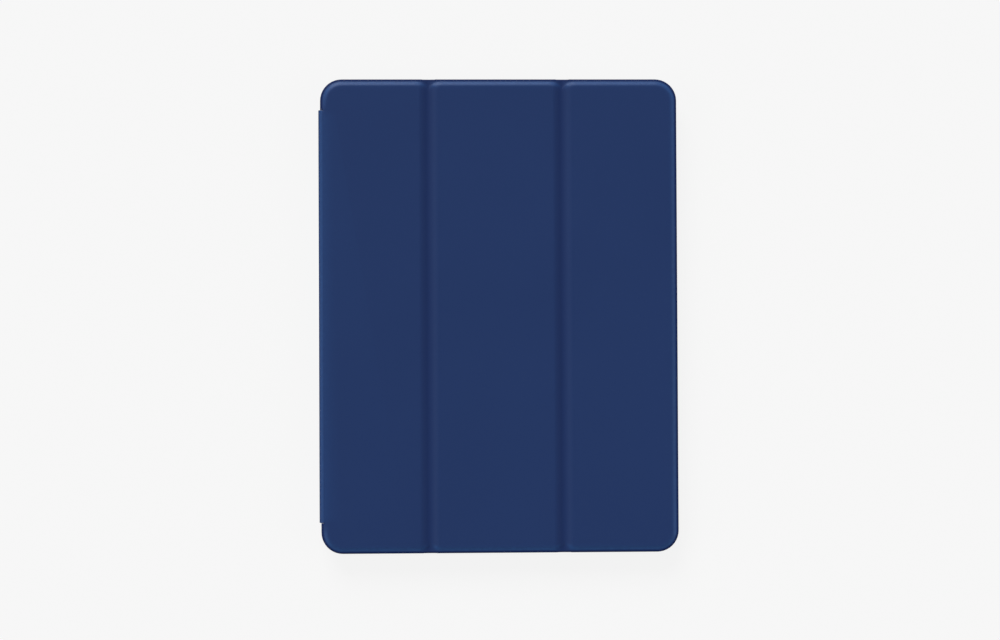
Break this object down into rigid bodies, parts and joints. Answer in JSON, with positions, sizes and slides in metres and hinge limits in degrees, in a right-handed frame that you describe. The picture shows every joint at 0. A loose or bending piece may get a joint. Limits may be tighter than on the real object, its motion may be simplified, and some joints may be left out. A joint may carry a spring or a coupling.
{
  "type": "tablet keyboard case",
  "caption": "Folding tablet folio: a soft tray joined by a spine to a panelled leather cover, with a slim loose keyboard held under the cover.",
  "frame": {"origin": "middle of the closed folio's outline, on the plane that the tray's back lies on", "axes": "+X from the spine to the cover's free edge, +Y along the spine to the camera end, +Z from the back to the cover"},
  "size_m": [0.221, 0.2918, 0.0177],
  "materials": {
    "navy_leather": "fine grain, semi-matte",
    "microfibre": "napped",
    "fibreboard": "matte",
    "soft_frame": "matte",
    "hard_back": "matte",
    "magnet_steel": "plain",
    "keyboard_body": "matte",
    "keycap": "satin",
    "circuit_board": "satin",
    "battery_foil": "satin",
    "foot_rubber": "matte",
    "port_metal": "satin",
    "light_window": "frosted"
  },
  "bodies": {
    "tray": {"bumper_frame": "soft_frame", "back_plate": "hard_back", "skin_back_strip": "navy_leather"},
    "power_button": {"power_button": "soft_frame"},
    "volume_up_button": {"volume_up_button": "soft_frame"},
    "volume_down_button": {"volume_down_button": "soft_frame"},
    "spine": {"skin_spine": "navy_leather", "spine_board": "fibreboard", "lining_spine": "microfibre", "skin_back_fold": "navy_leather"},
    "left_panel": {"skin_left_panel": "navy_leather", "left_panel_board": "fibreboard", "lining_left_panel": "microfibre", "stand_magnets": "magnet_steel", "skin_cover_fold": "navy_leather", "skin_left_fold": "navy_leather", "lining_left_fold": "microfibre"},
    "middle_panel": {"skin_middle_panel": "navy_leather", "middle_panel_board": "fibreboard", "lining_middle_panel": "microfibre", "keyboard_catch_strips": "magnet_steel", "skin_right_fold": "navy_leather", "lining_right_fold": "microfibre"},
    "right_panel": {"skin_right_panel": "navy_leather", "right_panel_board": "fibreboard", "lining_right_panel": "microfibre", "closing_magnets": "magnet_steel"},
    "keyboard": {"keyboard_base": "keyboard_body", "keyboard_deck": "keyboard_body", "key_switch_board": "circuit_board", "keyboard_battery": "battery_foil", "control_board": "circuit_board", "keyboard_magnets": "magnet_steel", "keyboard_feet": "foot_rubber", "charging_port": "port_metal", "status_lights": "light_window"},
    "power_switch": {"keyboard_power_switch": "keyboard_body"},
    "function_row_keys": {"function_row_keys": "keycap"},
    "number_row_keys": {"number_row_keys": "keycap"},
    "upper_letter_keys": {"upper_letter_keys": "keycap"},
    "home_row_keys": {"home_row_keys": "keycap"},
    "lower_letter_keys": {"lower_letter_keys": "keycap"},
    "bottom_row_keys": {"bottom_row_keys": "keycap"},
    "space_bar": {"space_bar": "keycap"}
  },
  "joints": [
    {"name": "back_fold", "type": "hinge", "parent": "tray", "child": "spine", "pos_m": [-0.1085, 0, 0.002], "axis": [0, -1, 0], "range_deg": [0, 90], "deforming": ["skin_back_fold"]},
    {"name": "cover_fold", "type": "hinge", "parent": "spine", "child": "left_panel", "pos_m": [-0.1085, 0, 0.01565], "axis": [0, -1, 0], "range_deg": [0, 90], "deforming": ["skin_cover_fold"]},
    {"name": "left_fold", "type": "hinge", "parent": "left_panel", "child": "middle_panel", "pos_m": [-0.0427, 0, 0.01553], "axis": [0, 1, 0], "range_deg": [-122, 0], "deforming": ["skin_left_fold", "lining_left_fold"]},
    {"name": "right_fold", "type": "hinge", "parent": "middle_panel", "child": "right_panel", "pos_m": [0.03985, 0, 0.01553], "axis": [0, 1, 0], "range_deg": [-129.5, 0], "deforming": ["skin_right_fold", "lining_right_fold"]},
    {"name": "keyboard_slide", "type": "slide", "parent": "middle_panel", "child": "keyboard", "axis": [1, 0, 0], "range_m": [0, 0.15]},
    {"name": "power_switch_slide", "type": "slide", "parent": "keyboard", "child": "power_switch", "axis": [1, 0, 0], "range_m": [0, 0.0025]},
    {"name": "power_press", "type": "slide", "parent": "tray", "child": "power_button", "axis": [0, -1, 0], "range_m": [0, 0.0004], "stiffness_N_per_m": 400, "springref_m": -0.0002},
    {"name": "volume_up_press", "type": "slide", "parent": "tray", "child": "volume_up_button", "axis": [-1, 0, 0], "range_m": [0, 0.0004], "stiffness_N_per_m": 400, "springref_m": -0.0002},
    {"name": "volume_down_press", "type": "slide", "parent": "tray", "child": "volume_down_button", "axis": [-1, 0, 0], "range_m": [0, 0.0004], "stiffness_N_per_m": 400, "springref_m": -0.0002},
    {"name": "function_row_press", "type": "slide", "parent": "keyboard", "child": "function_row_keys", "axis": [0, 0, 1], "range_m": [0, 0.0012], "stiffness_N_per_m": 600, "springref_m": -0.0004},
    {"name": "number_row_press", "type": "slide", "parent": "keyboard", "child": "number_row_keys", "axis": [0, 0, 1], "range_m": [0, 0.0012], "stiffness_N_per_m": 600, "springref_m": -0.0004},
    {"name": "upper_letter_press", "type": "slide", "parent": "keyboard", "child": "upper_letter_keys", "axis": [0, 0, 1], "range_m": [0, 0.0012], "stiffness_N_per_m": 600, "springref_m": -0.0004},
    {"name": "home_row_press", "type": "slide", "parent": "keyboard", "child": "home_row_keys", "axis": [0, 0, 1], "range_m": [0, 0.0012], "stiffness_N_per_m": 600, "springref_m": -0.0004},
    {"name": "lower_letter_press", "type": "slide", "parent": "keyboard", "child": "lower_letter_keys", "axis": [0, 0, 1], "range_m": [0, 0.0012], "stiffness_N_per_m": 600, "springref_m": -0.0004},
    {"name": "bottom_row_press", "type": "slide", "parent": "keyboard", "child": "bottom_row_keys", "axis": [0, 0, 1], "range_m": [0, 0.0012], "stiffness_N_per_m": 600, "springref_m": -0.0004},
    {"name": "space_bar_press", "type": "slide", "parent": "keyboard", "child": "space_bar", "axis": [0, 0, 1], "range_m": [0, 0.0012], "stiffness_N_per_m": 600, "springref_m": -0.0004}
  ]
}
